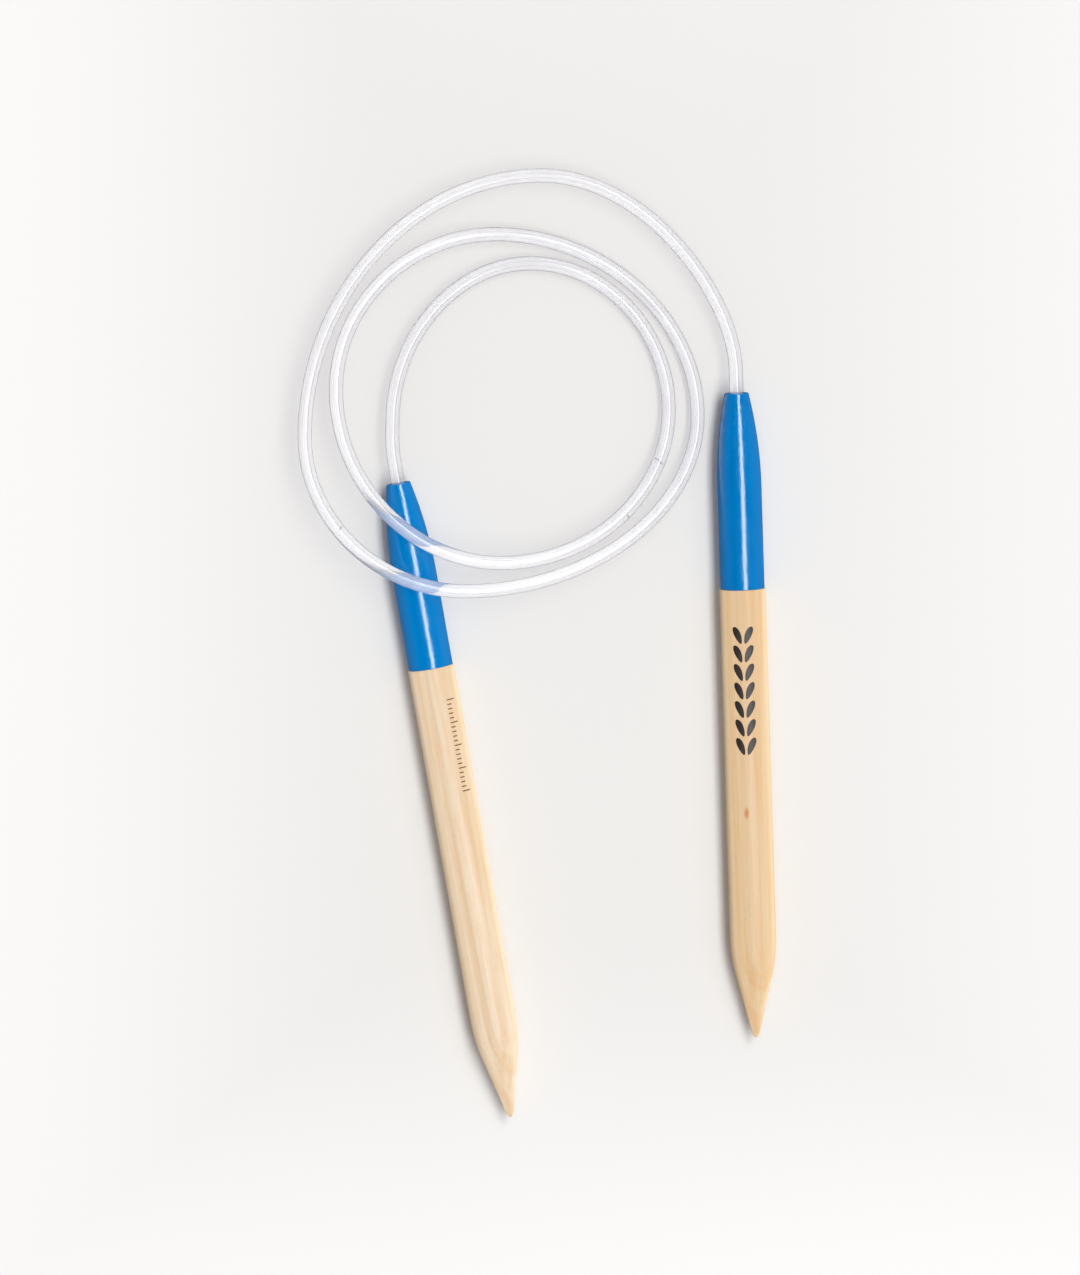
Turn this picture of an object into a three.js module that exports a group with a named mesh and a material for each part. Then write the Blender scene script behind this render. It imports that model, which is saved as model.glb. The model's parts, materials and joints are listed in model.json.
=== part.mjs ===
// Circular knitting needle, 10 mm gauge: two wooden points joined by a clear, thick-walled cord.
// The cord lies in two and a half clockwise turns, and its two outer turns pass over the left point.
// Millimetres, +Z up, resting on Z = 0. The origin is the middle of the footprint.
import * as THREE from 'three';

// ---- driving dimensions -------------------------------------------------------------------
const gauge = 10; // diameter of the wooden shaft
const pointLength = 139.7; // mouth to tip of one wooden point
const facets = 24; // sides of every turned part
const cordDiameter = 3;
const cordWall = 1.1;
const cordSides = 12;

// Lacquered end of a point.
const coatRadius = 4.77;
const coatThickness = 0.25;
const coatClearance = 0.02; // keeps the film clear of the wood below it
const mouthRadius = 2.65;
const mouthRounding = 0.4;
const taperLength = 20;

// Tapered tip of a point.
const shoulderStart = 116.9;
const shoulderCorner = 121.9;
const coneStart = 125.9;
const coneStartRadius = 4;
const coneEndRadius = 0.95;
const tipRounding = 1.4;
const tipFullness = 0.65;

// Socket for the cord.
const socketRadius = 1.9;
const socketDepth = 14;
const socketFit = 0.03; // between the cord, the glue and the wall of the socket
const glueRecess = 1;
const cordInsertion = 13;
const pinStart = 0.6;
const pinEnd = 12.6;
const pinChamfer = 0.1;

// Cord between the two points.
const lead = 5; // straight cord that leaves each mouth
const hingeGap = 0.5; // open space between two links of the cord
const loopGap = 0.3; // between the two loops that don't flex
const leftLinks = { count: 3, length: 16 };
const outerLinks = { count: 8, length: 14 };
const rightLinks = { count: 6, length: 12 };
const stepLength = 4.5; // spacing of the cord's cross-sections
const roundness = 0.539; // Bezier handle over chord that makes a quarter turn round
const leadRoundness = 0.374; // the same where the cord runs into a straight lead

const axisHeight = (gauge / 2) * Math.cos(Math.PI / facets); // a flat facet lies on the table

// Each point lies with its mouth here and turns this far anticlockwise from lying along -Y.
const leftPoint = { mouth: [-28.5, -14.5], tilt: 9.95, coatLength: 40.4 };
const rightPoint = { mouth: [44.1, 4.9], tilt: 1.86, coatLength: 42.2 };

// ---- materials ----------------------------------------------------------------------------
const wood = new THREE.MeshStandardMaterial({ color: 0xecc99a, roughness: 0.55, metalness: 0 });
const lacquer = new THREE.MeshStandardMaterial({ color: 0x0077c8, roughness: 0.25, metalness: 0 });
const glue = new THREE.MeshStandardMaterial({ color: 0xcdb98c, roughness: 0.4, metalness: 0 });
const nylon = new THREE.MeshStandardMaterial({ color: 0x55585c, roughness: 0.5, metalness: 0 });
const clearPlastic = new THREE.MeshStandardMaterial({ color: 0xe4e9f0, roughness: 0.12, metalness: 0 });

const v2 = (x, y) => new THREE.Vector2(x, y);

function namedMesh(name, geometry, material) {
  const mesh = new THREE.Mesh(geometry, material);
  mesh.name = name;
  return mesh;
}

// ---- one wooden point, turned about +Y from its mouth at Y = 0 ------------------------------
// The facets are set half a step round, so that one lies flat below the axis.
function turned(outline) {
  return new THREE.LatheGeometry(outline, facets, Math.PI / facets);
}

// Outline of the lacquered end, drawn in by inset: a full, rounded taper from the mouth.
function taperOutline(inset) {
  const start = v2(mouthRadius - inset, mouthRounding);
  const fullness = v2(coatRadius - inset, taperLength * 0.52);
  const end = v2(coatRadius - inset, taperLength);
  return new THREE.QuadraticBezierCurve(start, fullness, end).getPoints(7);
}

function woodShaft(coatLength) {
  const inset = coatThickness + coatClearance;
  const shoulder = new THREE.QuadraticBezierCurve(
    v2(gauge / 2, shoulderStart),
    v2(gauge / 2, shoulderCorner),
    v2(coneStartRadius, coneStart),
  );
  const tip = new THREE.QuadraticBezierCurve(
    v2(coneEndRadius, pointLength - tipRounding),
    v2(coneEndRadius * tipFullness, pointLength),
    v2(0, pointLength),
  );
  return turned([
    v2(0, socketDepth),
    v2(socketRadius, socketDepth),
    v2(socketRadius, inset),
    ...taperOutline(inset),
    v2(coatRadius - inset, coatLength),
    v2(gauge / 2, coatLength),
    ...shoulder.getPoints(5),
    ...tip.getPoints(4),
  ]);
}

function lacquerCoat(coatLength) {
  const edge = coatLength - coatClearance;
  return turned([
    v2(socketRadius, 0),
    v2(mouthRadius - mouthRounding, 0),
    ...taperOutline(0),
    v2(coatRadius, edge),
    v2(coatRadius - coatThickness, edge),
    ...taperOutline(coatThickness).reverse(),
    v2(socketRadius, coatThickness),
    v2(socketRadius, 0),
  ]);
}

function sleeve(innerRadius, outerRadius, start, end) {
  return turned([
    v2(innerRadius, start),
    v2(outerRadius, start),
    v2(outerRadius, end),
    v2(innerRadius, end),
    v2(innerRadius, start),
  ]);
}

function corePin() {
  const radius = cordDiameter / 2 - cordWall - socketFit;
  return turned([
    v2(0, pinStart),
    v2(radius - pinChamfer, pinStart),
    v2(radius, pinStart + pinChamfer),
    v2(radius, pinEnd - pinChamfer),
    v2(radius - pinChamfer, pinEnd),
    v2(0, pinEnd),
  ]);
}

function woodenPoint(side, place) {
  const cordRadius = cordDiameter / 2;
  const point = new THREE.Group();
  point.add(
    namedMesh(`${side}_wood_shaft`, woodShaft(place.coatLength), wood),
    namedMesh(`${side}_lacquer_coat`, lacquerCoat(place.coatLength), lacquer),
    namedMesh(
      `${side}_glue_sleeve`,
      sleeve(cordRadius + socketFit, socketRadius - socketFit, glueRecess, cordInsertion),
      glue,
    ),
    namedMesh(
      `${side}_cord_end`,
      sleeve(cordRadius - cordWall, cordRadius, hingeGap / 2 - lead, cordInsertion),
      clearPlastic,
    ),
    namedMesh(`${side}_core_pin`, corePin(), nylon),
  );
  point.position.set(...place.mouth, axisHeight);
  point.rotation.z = THREE.MathUtils.degToRad(180 + place.tilt);
  return point;
}

// ---- the cord -----------------------------------------------------------------------------
// Where the straight lead of a point ends, and the way the cord runs there.
function leadEnd(place) {
  const tilt = THREE.MathUtils.degToRad(place.tilt);
  const out = new THREE.Vector3(-Math.sin(tilt), Math.cos(tilt), 0);
  const mouth = new THREE.Vector3(...place.mouth, axisHeight);
  return { at: mouth.addScaledVector(out, lead), out };
}

// The coil's extremes, in order along the cord: left, top, right, bottom, and round again.
// climb is the rise per millimetre of run there.
const extremes = [
  { x: -29.7, y: -1.4, z: 4.7, climb: -0.06 },
  { x: -0.1, y: 32.5, z: 1.75, climb: -0.01 },
  { x: 29.6, y: 1.1, z: 2.1, climb: 0.06 },
  { x: -5.8, y: -31.4, z: 8.8, climb: 0.17 },
  { x: -41.7, y: 5.8, z: 9.6, climb: -0.11 },
  { x: -7.8, y: 38.8, z: 2.4, climb: -0.05 },
  { x: 35.8, y: -0.3, z: 2.2, climb: 0.05 },
  { x: -13.7, y: -37.3, z: 10.7, climb: 0.1 },
  { x: -48.4, y: -4.2, z: 10.4, climb: -0.09 },
  { x: 2.1, y: 51.5, z: 4.4, climb: -0.04 },
];
const headings = [v2(0, 1), v2(1, 0), v2(0, -1), v2(-1, 0)];

function cordPath() {
  const from = leadEnd(leftPoint);
  const to = leadEnd(rightPoint);
  const knots = [
    { at: from.at, run: from.out, round: leadRoundness },
    ...extremes.map(({ x, y, z, climb }, index) => {
      const heading = headings[index % headings.length];
      const run = new THREE.Vector3(heading.x, heading.y, climb);
      return { at: new THREE.Vector3(x, y, z), run, round: roundness };
    }),
    { at: to.at, run: to.out.negate(), round: leadRoundness },
  ];
  const path = new THREE.CurvePath();
  for (let index = 1; index < knots.length; index += 1) {
    const start = knots[index - 1];
    const end = knots[index];
    const chord = end.at.clone().sub(start.at);
    const startHandle = start.round * Math.abs(chord.dot(start.run));
    const endHandle = end.round * Math.abs(chord.dot(end.run));
    path.add(
      new THREE.CubicBezierCurve3(
        start.at,
        start.at.clone().addScaledVector(start.run, startHandle),
        end.at.clone().addScaledVector(end.run, -endHandle),
        end.at,
      ),
    );
  }
  return path;
}

const cord = cordPath();
const cordLength = cord.getLength();

// The part of the cord between two distances along it.
class Stretch extends THREE.Curve {
  constructor(start, end) {
    super();
    this.start = start;
    this.end = end;
  }

  getPoint(t) {
    return cord.getPoint(THREE.MathUtils.lerp(this.start, this.end, t) / cordLength);
  }
}

function cordSection() {
  const section = new THREE.Shape();
  section.absarc(0, 0, cordDiameter / 2, 0, 2 * Math.PI, false);
  const bore = new THREE.Path();
  bore.absarc(0, 0, cordDiameter / 2 - cordWall, 0, 2 * Math.PI, true);
  section.holes.push(bore);
  return section;
}

// A full circle is drawn with twice as many sides as curveSegments.
function cordPiece(name, start, end) {
  const geometry = new THREE.ExtrudeGeometry(cordSection(), {
    extrudePath: new Stretch(start, end),
    steps: Math.max(3, Math.ceil((end - start) / stepLength)),
    curveSegments: cordSides / 2,
  });
  return namedMesh(name, geometry, clearPlastic);
}

// A run of equal links from one distance along the cord, with half a hinge gap at each link's ends.
function linkRun(names, start, length) {
  return names.map((name, index) => {
    const from = start + index * length;
    return cordPiece(name, from + hingeGap / 2, from + length - hingeGap / 2);
  });
}

const numbered = (stem, count) => Array.from({ length: count }, (_, index) => `${stem}_${index + 1}`);

function cordPieces() {
  const coilStart = leftLinks.count * leftLinks.length;
  const rightStart = cordLength - rightLinks.count * rightLinks.length;
  const outerStart = rightStart - outerLinks.count * outerLinks.length;
  const loopSplit = (coilStart + outerStart) / 2;
  const pieces = new THREE.Group();
  pieces.add(
    ...linkRun(numbered('cord_left_link', leftLinks.count), 0, leftLinks.length),
    cordPiece('cord_inner_loop', coilStart + hingeGap / 2, loopSplit - loopGap / 2),
    cordPiece('cord_middle_loop', loopSplit + loopGap / 2, outerStart - hingeGap / 2),
    ...linkRun(numbered('cord_outer_link', outerLinks.count), outerStart, outerLinks.length),
    ...linkRun(numbered('cord_right_link', rightLinks.count), rightStart, rightLinks.length),
  );
  return pieces;
}

// ---- assembly, moved so that the origin is the middle of its footprint -----------------------
const needle = new THREE.Group();
needle.add(woodenPoint('left', leftPoint), woodenPoint('right', rightPoint), cordPieces());
const middle = new THREE.Box3().setFromObject(needle, true).getCenter(new THREE.Vector3());
needle.position.set(-middle.x, -middle.y, 0);

export default needle;
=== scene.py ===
"""Looks of the circular knitting needle: two lacquered wooden points on a clear coiled cord.

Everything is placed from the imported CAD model: a point's axis comes from its roll joint, and the
cord's centre line comes from the rings of vertices of its CAD links.
"""

import json
import math

import bpy
import numpy as np
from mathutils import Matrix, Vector

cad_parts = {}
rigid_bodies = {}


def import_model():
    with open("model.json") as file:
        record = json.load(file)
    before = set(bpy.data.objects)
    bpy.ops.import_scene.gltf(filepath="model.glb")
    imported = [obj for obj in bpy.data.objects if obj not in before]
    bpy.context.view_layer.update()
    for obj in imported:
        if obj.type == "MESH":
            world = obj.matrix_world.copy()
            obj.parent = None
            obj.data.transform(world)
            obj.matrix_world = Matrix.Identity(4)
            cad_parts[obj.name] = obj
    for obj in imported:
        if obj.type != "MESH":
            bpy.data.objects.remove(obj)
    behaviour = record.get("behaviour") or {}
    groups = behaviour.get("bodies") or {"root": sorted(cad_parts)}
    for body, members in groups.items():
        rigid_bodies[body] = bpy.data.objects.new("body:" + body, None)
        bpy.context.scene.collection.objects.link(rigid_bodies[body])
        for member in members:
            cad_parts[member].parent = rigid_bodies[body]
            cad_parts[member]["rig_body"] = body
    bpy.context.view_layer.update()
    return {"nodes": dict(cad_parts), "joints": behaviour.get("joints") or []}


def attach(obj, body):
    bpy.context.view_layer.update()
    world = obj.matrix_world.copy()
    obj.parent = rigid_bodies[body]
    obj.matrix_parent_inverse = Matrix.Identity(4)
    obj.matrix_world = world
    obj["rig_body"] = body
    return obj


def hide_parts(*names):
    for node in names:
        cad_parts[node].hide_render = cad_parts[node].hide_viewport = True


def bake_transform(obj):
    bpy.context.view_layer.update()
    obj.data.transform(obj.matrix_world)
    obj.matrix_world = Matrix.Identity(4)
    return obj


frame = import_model()

MM = 0.001
TAU = 2 * math.pi
SIDES = ("left", "right")
UP = np.array((0.0, 0.0, 1.0))

# ---- the wooden points, in millimetres from the mouth ----------------------------------------
SHAFT_RADIUS = 5.0
COAT_RADIUS = 4.77
COAT_THICKNESS = 0.25
COAT_CLEARANCE = 0.02
COAT_EDGE_ROUNDING = 0.12
SHAFT_EDGE_CHAMFER = 0.12
MOUTH_RADIUS = 2.65
MOUTH_ROUNDING = 0.4
TAPER_LENGTH = 20.0
TAPER_FULLNESS = 0.52
SHOULDER_LENGTHS = (22.8, 17.8, 13.8)  # start, corner and end of the shoulder, back from the tip
CONE_START_RADIUS = 4.0
CONE_END_RADIUS = 0.95
TIP_ROUNDING = 1.4
TIP_FULLNESS = 0.65
SOCKET_RADIUS = 1.9
SOCKET_DEPTH = 14.0
SOCKET_FIT = 0.03
SOCKET_ROUNDING = 0.12
GLUE_TOP = 0.9
GLUE_DIP = 0.35
GLUE_END = 13.0
LATHE_SIDES = 128
RING_WIDTH = 2.6  # of the wood's growth rings
FINE_RING_WIDTH = 0.83

# ---- the cord ------------------------------------------------------------------------------
CORD_RADIUS = 1.5
RING_SPACING = 0.6
OUTER_SIDES = 48
INNER_SIDES = 24
MOUTH_LEAD = 0.5  # the bending of the cord ends this far outside a mouth
RING_GAP = 3.3  # less than the distance between two rings of a CAD piece, more than the cord's width


# ---- node trees ----------------------------------------------------------------------------
class Nodes:
    """The node tree of a material or world. Each call adds a node and gives back an output socket."""

    def __init__(self, owner):
        owner.use_nodes = True
        self.owner = owner
        self.tree = owner.node_tree
        self.tree.nodes.clear()

    def add(self, kind, inputs, out=0, **properties):
        node = self.tree.nodes.new(kind)
        for key, value in properties.items():
            setattr(node, key, value)
        for key, value in inputs.items():
            if isinstance(value, bpy.types.NodeSocket):
                self.tree.links.new(value, node.inputs[key])
            else:
                node.inputs[key].default_value = value
        return node.outputs[out]

    def attribute(self, name):
        return self.add("ShaderNodeAttribute", {}, out=1, attribute_name=name)

    def math(self, operation, a, b=0.0, c=0.0):
        return self.add("ShaderNodeMath", {0: a, 1: b, 2: c}, operation=operation)

    def vector(self, operation, a, b=(0.0, 0.0, 0.0), out=0):
        return self.add("ShaderNodeVectorMath", {0: a, 1: b}, out=out, operation=operation)

    def part(self, vector, axis):
        return self.add("ShaderNodeSeparateXYZ", {0: vector}, out="XYZ".index(axis))

    def noise(self, vector, detail=2.0, roughness=0.5):
        """Noise around 0.5 with features about one unit of the vector across."""
        inputs = {"Vector": vector, "Scale": 1.0, "Detail": detail, "Roughness": roughness}
        return self.add("ShaderNodeTexNoise", inputs)

    def grade(self, value, low, high, to_low=0.0, to_high=1.0):
        """Value mapped smoothly from low..high to to_low..to_high, and held beyond them."""
        return self.add(
            "ShaderNodeMapRange",
            {"Value": value, "From Min": low, "From Max": high, "To Min": to_low, "To Max": to_high},
            interpolation_type="SMOOTHSTEP",
        )

    def blend(self, factor, a, b, mode="MIX"):
        inputs = {0: factor, 6: a, 7: b}
        return self.add("ShaderNodeMix", inputs, out=2, data_type="RGBA", blend_type=mode)

    def bump(self, height, distance, strength=1.0):
        inputs = {"Height": height, "Distance": distance, "Strength": strength}
        return self.add("ShaderNodeBump", inputs)

    def finish(self, shader, output="ShaderNodeOutputMaterial"):
        self.tree.links.new(shader, self.tree.nodes.new(output).inputs["Surface"])
        return self.owner


def material_nodes(name):
    return Nodes(bpy.data.materials.new(name))


def colour(red, green, blue):
    """An 8-bit sRGB colour as the linear colour a shader takes."""
    parts = [value / 255 for value in (red, green, blue)]
    linear = [v / 12.92 if v <= 0.04045 else ((v + 0.055) / 1.055) ** 2.4 for v in parts]
    return (*linear, 1.0)


LEFT_PALE = colour(235, 222, 201)
LEFT_TAN = colour(217, 182, 131)
RIGHT_PALE = colour(226, 207, 174)
RIGHT_TAN = colour(216, 173, 115)
LEFT_BLUE = colour(0, 127, 203)
RIGHT_BLUE = colour(0, 122, 195)


def wood(name, pale, tan, pith, seed, fleck=None):
    """Sanded birch, from the point's own coordinates in millimetres, with Z along the grain."""
    n = material_nodes(name)
    grain = n.attribute("grain")
    # distance from the log's pith, which leans slowly away along the shaft
    shifted = n.vector("ADD", grain, (seed, 0, 0))
    drift = n.noise(n.vector("MULTIPLY", shifted, (0.09, 0.09, 0.016)))
    lean = n.math("MULTIPLY", n.part(grain, "Z"), 0.012)
    slant = n.add("ShaderNodeCombineXYZ", {0: lean, 1: n.math("MULTIPLY", lean, -0.6)})
    from_pith = n.vector("ADD", n.vector("ADD", grain, slant), (*pith, 0))
    radius = n.vector("LENGTH", n.vector("MULTIPLY", from_pith, (1, 1, 0)), out=1)
    radius = n.math("ADD", radius, n.math("MULTIPLY", drift, 1.4))
    rings = n.grade(n.math("SINE", n.math("MULTIPLY", radius, TAU / RING_WIDTH)), -0.6, 1.0)
    fine_rings = n.grade(n.math("SINE", n.math("MULTIPLY", radius, TAU / FINE_RING_WIDTH)), 0.0, 1.0)
    fibres = n.noise(n.vector("MULTIPLY", grain, (3.2, 3.2, 0.05)), detail=4, roughness=0.65)
    raised = n.vector("ADD", grain, (0, seed, 0))
    streaks = n.noise(n.vector("MULTIPLY", raised, (0.7, 0.7, 0.012)))
    pores = n.noise(n.vector("MULTIPLY", grain, (7.0, 7.0, 0.45)), detail=1)
    mottle = n.noise(n.vector("MULTIPLY", grain, (0.5, 0.5, 0.16)), detail=3)

    tone = n.math("MULTIPLY_ADD", rings, 0.22, 0.04)
    tone = n.math("MULTIPLY_ADD", fine_rings, 0.08, tone)
    tone = n.math("MULTIPLY_ADD", n.grade(fibres, 0.32, 0.7), 0.14, tone)
    tone = n.math("MULTIPLY_ADD", n.grade(streaks, 0.3, 0.7), 0.26, tone)
    base = n.blend(tone, pale, tan)
    base = n.blend(n.grade(pores, 0.62, 0.78, 0.0, 0.22), base, colour(170, 126, 84))
    base = n.blend(n.grade(mottle, 0.42, 0.75, 0.0, 0.2), base, colour(232, 186, 134))
    if fleck:
        # a small darker spot, drawn out along the grain
        away = n.vector("MULTIPLY", n.vector("SUBTRACT", grain, fleck), (1.0, 0.35, 0.42))
        spot = n.grade(n.vector("LENGTH", away, out=1), 0.12, 0.75, 1.0, 0.0)
        base = n.blend(n.math("MULTIPLY", spot, 0.8), base, colour(206, 128, 66))
    surface = n.math("ADD", n.math("MULTIPLY", fibres, 0.7), n.math("MULTIPLY", pores, 0.5))
    roughness = n.grade(fibres, 0.25, 0.75, 0.4, 0.54)
    shader = n.add(
        "ShaderNodeBsdfPrincipled",
        {
            "Base Color": base,
            "Roughness": roughness,
            "Diffuse Roughness": 1.0,
            "Specular IOR Level": 0.3,
            "Normal": n.bump(surface, 0.03 * MM, 0.6),
        },
    )
    return n.finish(shader)


def lacquer(name, shade, seed):
    """Glossy paint that has sunk a little into the wood's grain."""
    n = material_nodes(name)
    grain = n.vector("ADD", n.attribute("grain"), (seed, 0, 0))
    fibres = n.noise(n.vector("MULTIPLY", grain, (3.4, 3.4, 2.2)), detail=3, roughness=0.6)
    ripple = n.noise(n.vector("MULTIPLY", grain, (0.8, 0.8, 0.3)), detail=2)
    specks = n.noise(n.vector("MULTIPLY", grain, (5.5, 5.5, 4.0)), detail=1)
    depth = n.noise(n.vector("MULTIPLY", grain, (0.5, 0.5, 0.1)), detail=2)
    deep = (*(0.82 * part for part in shade[:3]), 1.0)
    base = n.blend(n.grade(depth, 0.35, 0.7, 0.0, 0.35), shade, deep)
    height = n.math("MULTIPLY_ADD", fibres, 1.0, n.math("MULTIPLY", ripple, 1.3))
    height = n.math("MULTIPLY_ADD", n.grade(specks, 0.62, 0.8), 0.6, height)
    shader = n.add(
        "ShaderNodeBsdfPrincipled",
        {
            "Base Color": base,
            "Roughness": n.grade(fibres, 0.3, 0.7, 0.03, 0.07),
            "Specular IOR Level": 0.9,
            "Normal": n.bump(height, 0.03 * MM),
        },
    )
    return n.finish(shader)


def clear_plastic(name, scuffs):
    """Clear flexible plastic with a slight haze, painted greyer at its edges as shade. Lamps' light passes
    it, dimmed most at its edges.
    """
    n = material_nodes(name)
    along = n.attribute("along")
    distance = n.part(along, "X")
    across = n.part(along, "Y")
    above = n.part(along, "Z")
    facing = n.add("ShaderNodeLayerWeight", {"Blend": 0.5}, out=1)
    # painted shade: the cord is drawn greyer towards its edges; the scuffs below are real marks
    tint = n.blend(n.grade(facing, 0.4, 0.95), colour(252, 252, 253), colour(192, 186, 198))
    for at, lean, start, end in scuffs:
        away = n.math("ABSOLUTE", n.math("MULTIPLY_ADD", across, lean, n.math("SUBTRACT", distance, at)))
        line = n.grade(away, 0.07, 0.22, 1.0, 0.0)
        line = n.math("MULTIPLY", line, n.grade(across, start - 0.1, start + 0.05))
        line = n.math("MULTIPLY", line, n.grade(across, end - 0.05, end + 0.1, 1.0, 0.0))
        line = n.math("MULTIPLY", line, n.math("GREATER_THAN", above, 0.0))
        tint = n.blend(n.math("MULTIPLY", line, 0.8), tint, colour(84, 98, 92))
    cloud = n.noise(n.vector("MULTIPLY", along, (0.25, 1.0, 1.0)), detail=2)
    glassy = n.add(
        "ShaderNodeBsdfPrincipled",
        {
            "Base Color": tint,
            "Roughness": n.grade(cloud, 0.3, 0.7, 0.17, 0.22),
            "IOR": 1.46,
            "Transmission Weight": 0.84,
        },
    )
    shadow = n.blend(n.grade(facing, 0.2, 0.95), colour(249, 249, 250), colour(150, 147, 158))
    passing = n.add("ShaderNodeBsdfTransparent", {"Color": shadow})
    is_shadow = n.add("ShaderNodeLightPath", {}, out=1)
    is_diffuse = n.add("ShaderNodeLightPath", {}, out=2)
    factor = n.math("MAXIMUM", is_shadow, is_diffuse)
    return n.finish(n.add("ShaderNodeMixShader", {0: factor, 1: glassy, 2: passing}))


def bore(name):
    """The wall of the cord's bore, drawn without refraction: painted shade makes a faint grey line where
    it is seen edge on.
    """
    n = material_nodes(name)
    facing = n.add("ShaderNodeLayerWeight", {"Blend": 0.5}, out=1)
    # painted shade at grazing angles
    tint = n.blend(n.grade(facing, 0.2, 0.8), colour(252, 252, 253), colour(226, 223, 229))
    return n.finish(n.add("ShaderNodeBsdfTransparent", {"Color": tint}))


def seam():
    """The unseen cut between two stretches of the one cord."""
    n = material_nodes("cord_seam")
    return n.finish(n.add("ShaderNodeBsdfTransparent", {"Color": (1, 1, 1, 1)}))


def glue():
    n = material_nodes("cured_glue")
    grain = n.attribute("grain")
    cloud = n.noise(n.vector("MULTIPLY", grain, (1.4, 1.4, 1.4)), detail=3)
    base = n.blend(n.grade(cloud, 0.3, 0.7), colour(84, 74, 58), colour(128, 114, 88))
    shader = n.add(
        "ShaderNodeBsdfPrincipled",
        {
            "Base Color": base,
            "Roughness": n.grade(cloud, 0.3, 0.7, 0.2, 0.4),
            "Normal": n.bump(cloud, 0.05 * MM),
        },
    )
    return n.finish(shader)


def nylon():
    n = material_nodes("moulded_nylon")
    place = n.vector("MULTIPLY", n.add("ShaderNodeTexCoord", {}, out=3), (1000, 1000, 1000))
    speckle = n.noise(n.vector("MULTIPLY", place, (6, 6, 6)), detail=3)
    base = n.blend(n.grade(speckle, 0.3, 0.7), colour(78, 81, 85), colour(98, 101, 106))
    shader = n.add(
        "ShaderNodeBsdfPrincipled",
        {
            "Base Color": base,
            "Roughness": n.grade(speckle, 0.3, 0.7, 0.45, 0.6),
            "Normal": n.bump(speckle, 0.02 * MM),
        },
    )
    return n.finish(shader)


def ink(name, dark, worn):
    """Printing ink, worn thin in places over the grain."""
    n = material_nodes(name)
    grain = n.attribute("grain")
    wear = n.noise(n.vector("MULTIPLY", grain, (3.0, 3.0, 1.0)), detail=4, roughness=0.7)
    base = n.blend(n.grade(wear, 0.5, 0.78, 0.0, 0.6), dark, worn)
    shader = n.add(
        "ShaderNodeBsdfPrincipled",
        {
            "Base Color": base,
            "Roughness": n.grade(wear, 0.3, 0.7, 0.42, 0.6),
            "Normal": n.bump(wear, 0.01 * MM),
        },
    )
    return n.finish(shader)


# ---- meshes --------------------------------------------------------------------------------
def make_piece(name, points, faces, materials, face_materials=None, attribute=None, sharp=40):
    """A mesh object from points in metres. attribute is (name, one vector for each point)."""
    mesh = bpy.data.meshes.new(name)
    mesh.from_pydata([tuple(p) for p in points], [], faces)
    for material in materials:
        mesh.materials.append(material)
    if face_materials is not None:
        mesh.polygons.foreach_set("material_index", face_materials)
    mesh.polygons.foreach_set("use_smooth", [True] * len(mesh.polygons))
    mesh.set_sharp_from_angle(angle=math.radians(sharp))
    if attribute:
        layer = mesh.attributes.new(attribute[0], "FLOAT_VECTOR", "POINT")
        layer.data.foreach_set("vector", np.asarray(attribute[1], np.float32).ravel())
    mesh.validate()
    mesh.update()
    piece = bpy.data.objects.new(name, mesh)
    bpy.context.scene.collection.objects.link(piece)
    return piece


def bezier(start, corner, end, count):
    """Points on a quadratic curve, both ends included."""
    t = np.linspace(0, 1, count + 1)[:, None]
    start, corner, end = (np.array(p, float) for p in (start, corner, end))
    return [tuple(p) for p in (1 - t) ** 2 * start + 2 * t * (1 - t) * corner + t**2 * end]


def line(start, end, count):
    return [tuple(p) for p in np.linspace(start, end, count + 1)]


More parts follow.
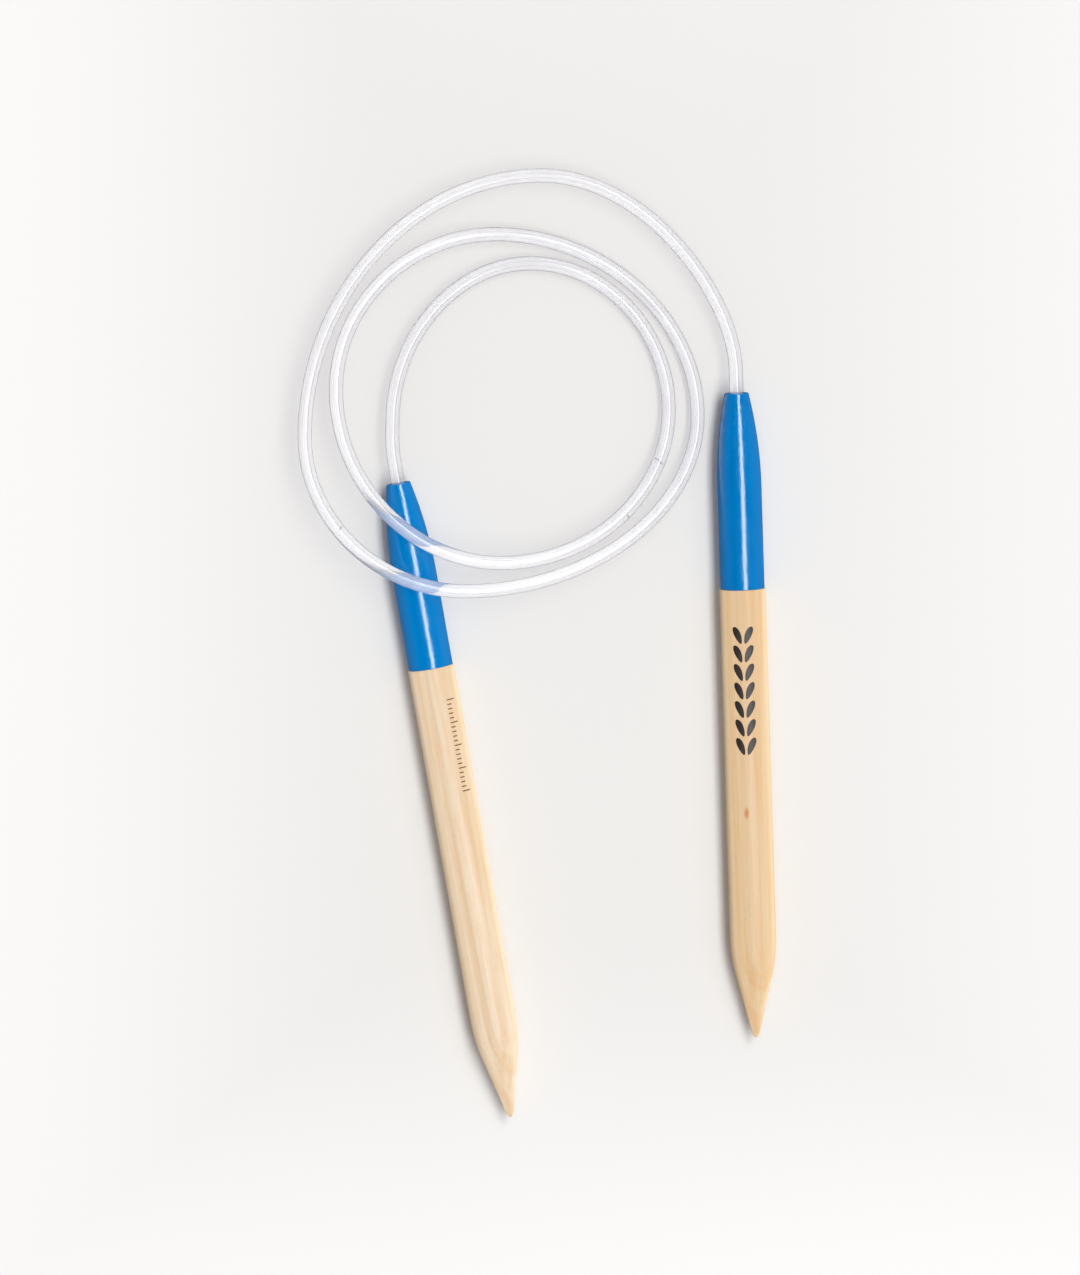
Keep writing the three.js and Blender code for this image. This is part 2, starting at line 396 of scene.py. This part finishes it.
class Point:
    """One wooden point: where its mouth is, which way it runs, and how long its parts are."""

    def __init__(self, side):
        self.body = f"{side}_needle"
        joint = next(j for j in frame["joints"] if j["child"] == self.body)
        self.along = np.array(joint["axis"], float)
        self.across = np.cross(self.along, UP)
        origin = np.array(joint["pos_m"], float)
        coat = self.reach(f"{side}_lacquer_coat", origin)
        self.mouth = origin + self.along * coat[0]
        self.coat_length = (coat[1] - coat[0]) / MM
        self.length = (self.reach(f"{side}_wood_shaft", origin)[1] - coat[0]) / MM

    def reach(self, node, origin):
        """Lowest and highest distance of a CAD node's vertices along the axis from origin."""
        mesh = frame["nodes"][node].data
        points = np.array([v.co for v in mesh.vertices], float).reshape(-1, 3)
        distances = (points - origin) @ self.along
        return distances.min(), distances.max()

    def place(self, local):
        """Local millimetres (across, up, along the shaft) as metres in the row frame."""
        local = np.asarray(local, float) * MM
        return self.mouth + local @ np.array([self.across, UP, self.along])

    def turned(self, name, outline, material, slot, node, sharp=40):
        """A closed shape turned about the axis, in the place of a CAD node. outline is (radius,
        distance) pairs that start and end on the axis, or close on themselves away from it."""
        rows = [np.array(p, float) for p in outline]
        closed = rows[0][0] > 0
        local, faces, starts = [], [], []
        angles = np.arange(LATHE_SIDES) * TAU / LATHE_SIDES
        for radius, distance in rows:
            starts.append(len(local))
            if radius <= 0:
                local.append((0.0, 0.0, distance))
            else:
                local.extend((radius * math.cos(a), radius * math.sin(a), distance) for a in angles)
        pairs = list(zip(range(len(rows) - 1), range(1, len(rows))))
        if closed:
            pairs.append((len(rows) - 1, 0))
        for low, high in pairs:
            a, b = starts[low], starts[high]
            for i in range(LATHE_SIDES):
                j = (i + 1) % LATHE_SIDES
                if rows[low][0] <= 0:
                    faces.append((a, b + i, b + j))
                elif rows[high][0] <= 0:
                    faces.append((a + i, b, a + j))
                else:
                    faces.append((a + i, b + i, b + j, a + j))
        places = self.place(local)
        piece = make_piece(name, places, faces, [material], attribute=("grain", local), sharp=sharp)
        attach(piece, self.body)
        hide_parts(node)

    def printed(self, name, outlines, material):
        """Thin ink marks wrapped on the shaft. Each outline is a loop of (millimetres round the
        shaft from its top, millimetres from the mouth), drawn anticlockwise."""
        local, faces = [], []
        for outline in outlines:
            outline = np.array(divided(outline))
            centre = outline.mean(axis=0)
            count = len(outline)
            high = SHAFT_RADIUS + INK_HEIGHT
            low = SHAFT_RADIUS - INK_SINK
            starts = []
            for radius, sizes in ((high, INK_RINGS), (low, INK_RINGS[:1])):
                for size in sizes:
                    starts.append(len(local))
                    for around, distance in centre + size * (outline - centre):
                        angle = around / SHAFT_RADIUS
                        local.append((radius * math.sin(angle), radius * math.cos(angle), distance))
                angle = centre[0] / SHAFT_RADIUS
                local.append((radius * math.sin(angle), radius * math.cos(angle), centre[1]))
            *rings, under = starts
            for i in range(count):
                j = (i + 1) % count
                for outer, inner in zip(rings, rings[1:]):
                    faces.append((outer + i, outer + j, inner + j, inner + i))
                faces.append((rings[-1] + i, rings[-1] + j, rings[-1] + count))
                faces.append((under + j, under + i, under + count))
                faces.append((under + i, under + j, rings[0] + j, rings[0] + i))
        places = self.place(local)
        piece = make_piece(name, places, faces, [material], attribute=("grain", local), sharp=30)
        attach(piece, self.body)


# ---- build the two points --------------------------------------------------------------------
INK_HEIGHT = 0.02
INK_SINK = 0.08  # how far a mark reaches into the wood, so that it has no gap below it
INK_RINGS = (1.0, 0.8, 0.6, 0.4, 0.2)  # sizes of the loops that let a mark follow the shaft
INK_STEP = 0.4  # longest straight edge of a mark
STITCH_SIDES = 24
TICK_ROUNDING = 0.35
TICK_CORNER_POINTS = 4


def taper(inset, count):
    """The lacquered end's outline, drawn in by inset."""
    start = (MOUTH_RADIUS - inset, MOUTH_ROUNDING)
    corner = (COAT_RADIUS - inset, TAPER_LENGTH * TAPER_FULLNESS)
    return bezier(start, corner, (COAT_RADIUS - inset, TAPER_LENGTH), count)


def shaft_outline(point):
    """The wood: the socket, the part under the coat, the full shaft, the shoulder and the tip."""
    inset = COAT_THICKNESS + COAT_CLEARANCE
    start, corner, end = (point.length - back for back in SHOULDER_LENGTHS)
    edge = point.coat_length + COAT_CLEARANCE
    cone_end = point.length - TIP_ROUNDING
    fullness = (CONE_END_RADIUS * TIP_FULLNESS, point.length)
    return [
        (0, SOCKET_DEPTH),
        (SOCKET_RADIUS, SOCKET_DEPTH),
        (SOCKET_RADIUS, inset),
        *taper(inset, 12),
        *line((COAT_RADIUS - inset, TAPER_LENGTH + 2), (COAT_RADIUS - inset, edge), 4),
        (SHAFT_RADIUS - SHAFT_EDGE_CHAMFER, edge),
        *bezier(
            (SHAFT_RADIUS - SHAFT_EDGE_CHAMFER * 0.6, edge + 0.01),
            (SHAFT_RADIUS, edge + 0.02),
            (SHAFT_RADIUS, edge + SHAFT_EDGE_CHAMFER),
            3,
        ),
        *line((SHAFT_RADIUS, edge + 1), (SHAFT_RADIUS, start - 1), 24),
        *bezier((SHAFT_RADIUS, start), (SHAFT_RADIUS, corner), (CONE_START_RADIUS, end), 16),
        *line((CONE_START_RADIUS, end), (CONE_END_RADIUS, cone_end), 10)[1:],
        *bezier((CONE_END_RADIUS, cone_end), fullness, (0, point.length), 8)[1:],
    ]


def coat_outline(point):
    """The film of lacquer, rounded at the socket, at the mouth and at the edge on the wood."""
    edge = point.coat_length
    inner = COAT_RADIUS - COAT_THICKNESS
    lip = MOUTH_RADIUS - MOUTH_ROUNDING
    rim = SOCKET_RADIUS + SOCKET_ROUNDING
    edge_start = (COAT_RADIUS, edge - COAT_EDGE_ROUNDING)
    edge_end = (COAT_RADIUS - COAT_EDGE_ROUNDING, edge)
    return [
        (SOCKET_RADIUS, SOCKET_ROUNDING),
        *bezier((SOCKET_RADIUS + 0.02, 0.05), (SOCKET_RADIUS + 0.04, 0), (rim, 0), 3),
        *bezier((lip, 0), (MOUTH_RADIUS, 0), (MOUTH_RADIUS, MOUTH_ROUNDING), 6)[:-1],
        *taper(0, 32),
        *line((COAT_RADIUS, TAPER_LENGTH + 1), edge_start, 12),
        *bezier(edge_start, (COAT_RADIUS, edge), edge_end, 4)[1:],
        (inner, edge),
        *reversed(taper(COAT_THICKNESS, 12)),
        (SOCKET_RADIUS, COAT_THICKNESS),
    ]


def glue_outline():
    """The glue between the cord and the socket. Its face at the mouth dips, as glue dries."""
    low = CORD_RADIUS + SOCKET_FIT
    high = SOCKET_RADIUS - SOCKET_FIT
    middle = (low + high) / 2
    return [
        (low, GLUE_END),
        *bezier((low, GLUE_TOP - 0.1), (middle, GLUE_TOP + 2 * GLUE_DIP), (high, GLUE_TOP), 8),
        (high, GLUE_END),
    ]


def stitch(centre, width, length, lean):
    """One leaf of a knitted stitch: a drop that is plumper towards the mouth and leans to one side."""
    points = []
    for angle in np.arange(STITCH_SIDES) * TAU / STITCH_SIDES:
        swell = 1 - 0.28 * math.sin(angle)
        across = 0.5 * width * math.cos(angle) * swell
        run = 0.5 * length * math.sin(angle)
        points.append((centre[0] + across + lean * run, centre[1] + run))
    return points


def divided(outline):
    """The same loop with extra points on its long edges, so that it wraps closely."""
    points = []
    for start, end in zip(outline, [*outline[1:], outline[0]]):
        steps = max(1, math.ceil(math.dist(start, end) / INK_STEP))
        points.extend(line(start, end, steps)[:-1])
    return points


def bar(centre, width, length):
    """A tick with rounded corners."""
    points = []
    corner = TICK_ROUNDING * min(width, length)
    for sx, sy, start in ((1, 1, 0), (-1, 1, 1), (-1, -1, 2), (1, -1, 3)):
        for turn in np.linspace(0, 1, TICK_CORNER_POINTS):
            angle = (start + turn) * TAU / 4
            x = sx * (width / 2 - corner) + corner * math.cos(angle)
            y = sy * (length / 2 - corner) + corner * math.sin(angle)
            points.append((centre[0] + x, centre[1] + y))
    return points


# Printed marks, in millimetres round the shaft from its top and along it from the mouth.
STITCHES = 7
STITCH_PITCH = 4.0
FIRST_STITCH = 51.8
STITCH_WIDTH = 1.55
STITCH_LENGTH = 3.7
STITCH_LEAN = 0.36
STITCH_SPREAD = 1.15  # from the middle of the row to the middle of a leaf
STITCH_SHIFT = 0.3  # of the row round the shaft from its top
TICKS = 21
TICK_PITCH = 1.0
FIRST_TICK = 47.5
TICK_WIDTH = 1.1
LONG_TICK_WIDTH = 1.9
LONG_TICK_EVERY = 5
TICK_THICKNESS = 0.26
TICK_START = -2.3  # the straight edge of the scale, round the shaft from its top


def stitch_row():
    """A column of plain knit stitches, two leaves each."""
    leaves = []
    for index in range(STITCHES):
        for hand in (-1, 1):
            centre = (hand * STITCH_SPREAD + STITCH_SHIFT, FIRST_STITCH + index * STITCH_PITCH)
            leaves.append(stitch(centre, STITCH_WIDTH, STITCH_LENGTH, -hand * STITCH_LEAN))
    return leaves


def scale():
    """A plain ruled scale."""
    bars = []
    for index in range(TICKS):
        width = TICK_WIDTH if index % LONG_TICK_EVERY else LONG_TICK_WIDTH
        centre = (TICK_START - width / 2, FIRST_TICK + index * TICK_PITCH)
        bars.append(bar(centre, width, TICK_THICKNESS))
    return bars


woods = {
    "left": wood("birch_left", LEFT_PALE, LEFT_TAN, (-10.0, 10.0), 3.0),
    "right": wood("birch_right", RIGHT_PALE, RIGHT_TAN, (-6.0, 12.0), 41.0, (0.65, 4.95, 90.3)),
}
lacquers = {
    "left": lacquer("blue_lacquer_left", LEFT_BLUE, 7.0),
    "right": lacquer("blue_lacquer_right", RIGHT_BLUE, 23.0),
}
glue_material = glue()
nylon_material = nylon()
points = {side: Point(side) for side in SIDES}
for side, point in points.items():
    shaft_node, coat_node, glue_node, pin_node = (
        f"{side}_{part}" for part in ("wood_shaft", "lacquer_coat", "glue_sleeve", "core_pin")
    )
    point.turned(f"{side}_shaft", shaft_outline(point), woods[side], "birch_wood", shaft_node, sharp=50)
    point.turned(f"{side}_coat", coat_outline(point), lacquers[side], "blue_lacquer", coat_node)
    point.turned(f"{side}_glue", glue_outline(), glue_material, "cured_glue", glue_node)
    pin = frame["nodes"][pin_node]
    pin.data.materials.clear()
    pin.data.materials.append(nylon_material)
black_ink = ink("black_ink", colour(34, 26, 24), colour(74, 58, 48))
brown_ink = ink("brown_ink", colour(120, 84, 62), colour(166, 128, 98))
points["right"].printed("right_stitch_marks", stitch_row(), black_ink)
points["left"].printed("left_scale_marks", scale(), brown_ink)


# ---- the cord's centre line, from the rings of its CAD pieces --------------------------------
def ring_centres(node):
    """The centres of a CAD cord piece's rings of vertices, in no order."""
    left = np.unique(np.round([v.co for v in frame["nodes"][node].data.vertices], 7), axis=0)
    centres = []
    while len(left):
        near = np.linalg.norm(left - left[0], axis=1) < RING_GAP * MM
        centres.append(left[near].mean(axis=0))
        left = left[~near]
    return centres


def cord_nodes():
    """The CAD pieces of the cord in order from the left mouth to the right one."""
    names = sorted(n for n in frame["nodes"] if n.startswith("cord_"))
    runs = {key: [n for n in names if f"_{key}_link" in n] for key in ("left", "outer", "right")}
    loops = ["cord_inner_loop", "cord_middle_loop"]
    return ["left_cord_end", *runs["left"], *loops, *runs["outer"], *runs["right"], "right_cord_end"]


def centre_line():
    """Knots of the cord's centre line, from the bottom of the left socket to that of the right."""
    names = cord_nodes()
    following = np.mean(ring_centres(names[1]), axis=0)
    knots = sorted(ring_centres(names[0]), key=lambda p: -np.linalg.norm(p - following))
    for name in names[1:]:
        left = ring_centres(name)
        while left:
            nearest = int(np.argmin([np.linalg.norm(p - knots[-1]) for p in left]))
            knots.append(left.pop(nearest))
    return np.array(knots)


def smooth_line(knots, spacing):
    """Evenly spaced points on a smooth curve through the knots."""
    chords = np.linalg.norm(np.diff(knots, axis=0), axis=1)
    at = np.concatenate([[0], np.cumsum(chords)])
    slopes = np.diff(knots, axis=0) / chords[:, None]
    before, after = chords[:-1, None], chords[1:, None]
    inner = (after * slopes[:-1] + before * slopes[1:]) / (before + after)
    tangents = np.vstack([slopes[0], inner, slopes[-1]])
    dense = np.arange(0, at[-1], spacing / 4)
    k = np.clip(np.searchsorted(at, dense, side="right") - 1, 0, len(chords) - 1)
    h = chords[k][:, None]
    t = ((dense - at[k]) / chords[k])[:, None]
    curve = (
        (1 + 2 * t) * (1 - t) ** 2 * knots[k]
        + t * (1 - t) ** 2 * h * tangents[k]
        + t**2 * (3 - 2 * t) * knots[k + 1]
        + t**2 * (t - 1) * h * tangents[k + 1]
    )
    curve = np.vstack([curve, knots[-1]])
    run = np.concatenate([[0], np.cumsum(np.linalg.norm(np.diff(curve, axis=0), axis=1))])
    even = np.linspace(0, run[-1], int(round(run[-1] / spacing)) + 1)
    return np.stack([np.interp(even, run, curve[:, axis]) for axis in range(3)], axis=1), even


def carried_frames(line_points):
    """Side and upper directions at each point, carried along without twist."""
    tangents = np.gradient(line_points, axis=0)
    tangents /= np.linalg.norm(tangents, axis=1)[:, None]
    upper = UP - tangents[0] * (UP @ tangents[0])
    uppers = [upper / np.linalg.norm(upper)]
    for tangent in tangents[1:]:
        upper = uppers[-1] - tangent * (uppers[-1] @ tangent)
        uppers.append(upper / np.linalg.norm(upper))
    uppers = np.array(uppers)
    return np.cross(tangents, uppers), uppers


cord_points, cord_run = smooth_line(centre_line(), RING_SPACING * MM)
cord_sides, cord_uppers = carried_frames(cord_points)


def bore_radius():
    """The cord's inner radius in millimetres, from the nearest CAD vertices to its centre line."""
    mesh = frame["nodes"]["left_cord_end"].data
    corners = np.array([v.co for v in mesh.vertices], float).reshape(-1, 3)
    point = points["left"]
    offset = corners - point.mouth
    offset -= np.outer(offset @ point.along, point.along)
    return np.linalg.norm(offset, axis=1).min() / MM


BORE_RADIUS = bore_radius()
SCUFFS = (  # millimetres along the cord from the left mouth, lean, and start and end across it
    (122.0, 0.35, 0.05, 0.75),
    (122.2, 0.35, -0.6, -0.1),
    (135.4, 0.2, -1.0, -0.5),
    (440.0, -0.5, 0.0, 0.6),
)
mouth_run = cord_run[np.argmin(np.linalg.norm(cord_points - points["left"].mouth, axis=1))]
cord_material = clear_plastic("clear_cord", SCUFFS)
bore_material = bore("cord_bore")
seam_material = seam()


def tube(name, first, last):
    """The cord from one ring to another: outer wall, bore, and a flat cut at each end."""
    rings = np.arange(first, last + 1)
    sections = []
    for sides, radius in ((OUTER_SIDES, CORD_RADIUS), (INNER_SIDES, BORE_RADIUS)):
        angles = np.arange(sides) * TAU / sides
        sections.append((np.cos(angles), np.sin(angles), radius * MM))
    vertices, along = [], []
    for ring in rings:
        for across, above, radius in sections:
            spread = np.outer(across, cord_sides[ring]) + np.outer(above, cord_uppers[ring])
            vertices.append(cord_points[ring] + radius * spread)
            distance = np.full(len(across), (cord_run[ring] - mouth_run) / MM)
            along.append(np.stack([distance, across, above], axis=1))
    step = OUTER_SIDES + INNER_SIDES
    faces, kinds = [], []
    for k in range(len(rings) - 1):
        low, high = k * step, (k + 1) * step
        kinds.extend([0] * OUTER_SIDES + [1] * INNER_SIDES)
        for i in range(OUTER_SIDES):
            j = (i + 1) % OUTER_SIDES
            faces.append((low + j, low + i, high + i, high + j))
        for i in range(INNER_SIDES):
            j = (i + 1) % INNER_SIDES
            a, b = low + OUTER_SIDES, high + OUTER_SIDES
            faces.append((a + i, a + j, b + j, b + i))
    for base, flip in ((0, False), ((len(rings) - 1) * step, True)):
        cut = annulus(base, base + OUTER_SIDES)
        faces.extend(tuple(reversed(face)) if flip else face for face in cut)
    kinds.extend([2] * (len(faces) - len(kinds)))
    return make_piece(
        name,
        np.concatenate(vertices),
        faces,
        [cord_material, bore_material, seam_material],
        kinds,
        ("along", np.concatenate(along)),
        sharp=60,
    )


def annulus(outer, inner):
    """Triangles between a ring of outer vertices and a ring of inner ones, both anticlockwise."""
    faces, i, j = [], 0, 0
    while i < OUTER_SIDES or j < INNER_SIDES:
        if j >= INNER_SIDES or (i < OUTER_SIDES and (i + 0.5) / OUTER_SIDES <= (j + 0.5) / INNER_SIDES):
            faces.append((outer + i % OUTER_SIDES, outer + (i + 1) % OUTER_SIDES, inner + j % INNER_SIDES))
            i += 1
        else:
            faces.append((outer + i % OUTER_SIDES, inner + (j + 1) % INNER_SIDES, inner + j % INNER_SIDES))
            j += 1
    return faces


def cord_joints():
    """The joints along the cord in order, each with its ring and the bodies before and after it."""
    found = []
    for joint in frame["joints"]:
        away = np.linalg.norm(cord_points - np.array(joint["pos_m"]), axis=1)
        found.append((int(np.argmin(away)), joint))
    found.sort(key=lambda pair: pair[0])
    ordered, body = [], "left_needle"
    for ring, joint in found:
        after = joint["parent"] if joint["child"] == body else joint["child"]
        ordered.append((ring, body, after))
        body = after
    return ordered


def build_cord():
    """One stretch of cord for each joint, and two turns of the coil between the left stretches and the
    outer ones.
    """
    joints = cord_joints()
    rings = [ring for ring, _, _ in joints]
    hinge_to_mouth = np.linalg.norm(cord_points[rings[0]] - points["left"].mouth) / MM
    lead = int(round((hinge_to_mouth - MOUTH_LEAD) / RING_SPACING))
    coil = next(i for i, (_, _, after) in enumerate(joints) if after == "coil")
    # each joint's stretch runs from halfway to the joint before it to halfway to the next one
    starts, ends = [], []
    for i, ring in enumerate(rings):
        before = rings[i] - rings[i - 1] if i else 0
        after = rings[i + 1] - rings[i] if i + 1 < len(rings) else 0
        if i == coil:
            after = before
        if i == coil + 1:
            before = after
        starts.append(ring - before // 2 if before else ring - lead)
        ends.append(ring + after - after // 2 if after else ring + lead)
    for i in range(1, len(rings)):
        if i != coil + 1:
            starts[i] = ends[i - 1]
    for i, (_, before, after) in enumerate(joints):
        first = starts[i] if i else 0
        last = ends[i] if i + 1 < len(joints) else len(cord_points) - 1
        piece = tube(f"cord_{i + 1:02d}", first, last)
        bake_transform(piece)
        # a stretch stands for the CAD pieces of the bodies it reaches
        stands_for = [n for n in cord_nodes() if frame["nodes"][n]["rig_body"] in (before, after)]
        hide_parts(*[n for n in stands_for if "loop" not in n])
    split = (ends[coil] + starts[coil + 1]) // 2
    for turn, first, last in (("inner", ends[coil], split), ("middle", split, starts[coil + 1])):
        piece = tube(f"coil_{turn}_turn", first, last)
        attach(piece, "coil")
        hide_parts(f"cord_{turn}_loop")


build_cord()

# ---- floor, light and camera -------------------------------------------------------------------
VIEW_CENTRE = Vector((0.47 * MM, 1.69 * MM, 5 * MM))
VIEW_HEIGHT = 0.2742  # how much of the floor the picture shows from top to bottom
VIEW_DISTANCE = 2.0
VIEW_TILT = math.radians(6)  # from straight above, towards the mouths
SENSOR = 36.0


def paper():
    """Pale paper, with painted light: it is painted a little brighter away from the middle."""
    n = material_nodes("pale_paper")
    place = n.add("ShaderNodeTexCoord", {}, out=3)
    centred = n.vector("SUBTRACT", place, tuple(VIEW_CENTRE))
    x, y = (n.part(centred, axis) for axis in "XY")
    # painted light: brightest towards the left and the bottom, less towards the right, least towards the
    # top
    tone = n.grade(x, -0.02, -0.125)
    for value, start, end, most in ((x, 0.04, 0.13, 0.55), (y, 0.1, 0.16, 0.2), (y, -0.06, -0.15, 1.0)):
        tone = n.math("MAXIMUM", tone, n.grade(value, start, end, 0.0, most))
    fibre = n.noise(n.vector("MULTIPLY", place, (900, 900, 900)), detail=3)
    tone = n.math("MULTIPLY_ADD", n.math("SUBTRACT", fibre, 0.5), 0.06, tone)
    base = n.blend(tone, (0.768, 0.764, 0.752, 1), (0.872, 0.873, 0.869, 1))
    shader = n.add(
        "ShaderNodeBsdfPrincipled",
        {"Base Color": base, "Roughness": 0.9, "Specular IOR Level": 0.2},
    )
    return n.finish(shader)


FLOOR_REACH = 3.0
floor_corners = [(x * FLOOR_REACH, y * FLOOR_REACH, 0) for x, y in ((-1, -1), (1, -1), (1, 1), (-1, 1))]
floor = make_piece("floor", floor_corners, [(0, 1, 2, 3)], [paper()])
floor.visible_glossy = False  # keeps its pale glare off the lacquer

LAMP_COLOUR = (0.99, 0.995, 0.985)
KEY_DISTANCE = 3.0
KEY_LEAN = (math.radians(-4), math.radians(16.5), 0)  # back from the tips, and towards the right
KEY_WIDTH = 0.8
KEY_LENGTH = 3.2
KEY_POWER = 77.0
SOFT_WIDTH = 3.2
SOFT_POWER = 26.0
GLINT_POWER = 50.0


def lamp(name, width, power):
    """A lamp above the coil, long from the mouths to the tips."""
    light = bpy.data.lights.new(name, "AREA")
    light.shape = "RECTANGLE"
    light.size = width
    light.size_y = KEY_LENGTH
    light.energy = power
    light.color = LAMP_COLOUR
    placed = bpy.data.objects.new(name, light)
    placed.rotation_euler = KEY_LEAN
    placed.location = placed.rotation_euler.to_matrix() @ Vector((0, 0, KEY_DISTANCE))
    placed.visible_transmission = False  # the cord shows a lamp as a reflection only
    bpy.context.scene.collection.objects.link(placed)
    return placed


lamp("key", KEY_WIDTH, KEY_POWER)
lamp("soft", SOFT_WIDTH, SOFT_POWER).visible_glossy = False
lamp("glint", KEY_WIDTH, GLINT_POWER).visible_diffuse = False  # only brightens the highlights


OVERHEAD_LIGHT = (0.0, 0.0, 0.002, 1)
HORIZON_LIGHT = (0.13, 0.16, 0.2, 1)
WINDOW_LIGHT = (1.6, 1.6, 1.62, 1)
WINDOW_MIDDLE = 0.2  # X of the direction of the windows' middle
BACKDROP = (0.7, 0.7, 0.69, 1)
WALL_LIGHT = (0.268, 0.25, 0.256, 1)


def room():
    """A studio whose reflections are dark overhead and paler low down, with tall windows beyond both
    ends of the points. Seen directly it is a pale backdrop, and its light reaches the floor evenly."""
    world = bpy.data.worlds.new("studio")
    bpy.context.scene.world = world
    n = Nodes(world)
    direction = n.add("ShaderNodeTexCoord", {})
    x, y, z = (n.part(direction, axis) for axis in "XYZ")
    seen = n.blend(n.grade(z, 0.75, 0.1), OVERHEAD_LIGHT, HORIZON_LIGHT)
    # how far a direction is inside a window: far enough along Y, near enough to its middle, and up
    window = n.grade(n.math("ABSOLUTE", y), 0.4, 0.65)
    across = n.math("ABSOLUTE", n.math("SUBTRACT", x, WINDOW_MIDDLE))
    window = n.math("MULTIPLY", window, n.grade(across, 0.65, 0.35))
    window = n.math("MULTIPLY", window, n.grade(z, 0.0, 0.1))
    seen = n.blend(window, seen, WINDOW_LIGHT)
    is_camera, is_diffuse = (n.add("ShaderNodeLightPath", {}, out=kind) for kind in (0, 2))
    light = n.blend(is_camera, seen, BACKDROP)
    light = n.blend(is_diffuse, light, WALL_LIGHT)
    n.finish(n.add("ShaderNodeBackground", {"Color": light, "Strength": 1.0}), "ShaderNodeOutputWorld")


room()

camera = bpy.data.cameras.new("camera")
camera.sensor_width = SENSOR
camera.lens = SENSOR * VIEW_DISTANCE / VIEW_HEIGHT
camera_object = bpy.data.objects.new("camera", camera)
view_from = Vector((0, math.sin(VIEW_TILT), math.cos(VIEW_TILT)))
camera_object.location = VIEW_CENTRE + view_from * VIEW_DISTANCE
camera_object.rotation_euler = (-VIEW_TILT, 0, 0)
bpy.context.scene.collection.objects.link(camera_object)
bpy.context.scene.camera = camera_object

bpy.context.scene.view_settings.view_transform = "Standard"
bpy.context.scene.view_settings.look = "None"
bpy.context.scene.cycles.transparent_max_bounces = 32
bpy.context.scene.cycles.sample_clamp_indirect = 1.3
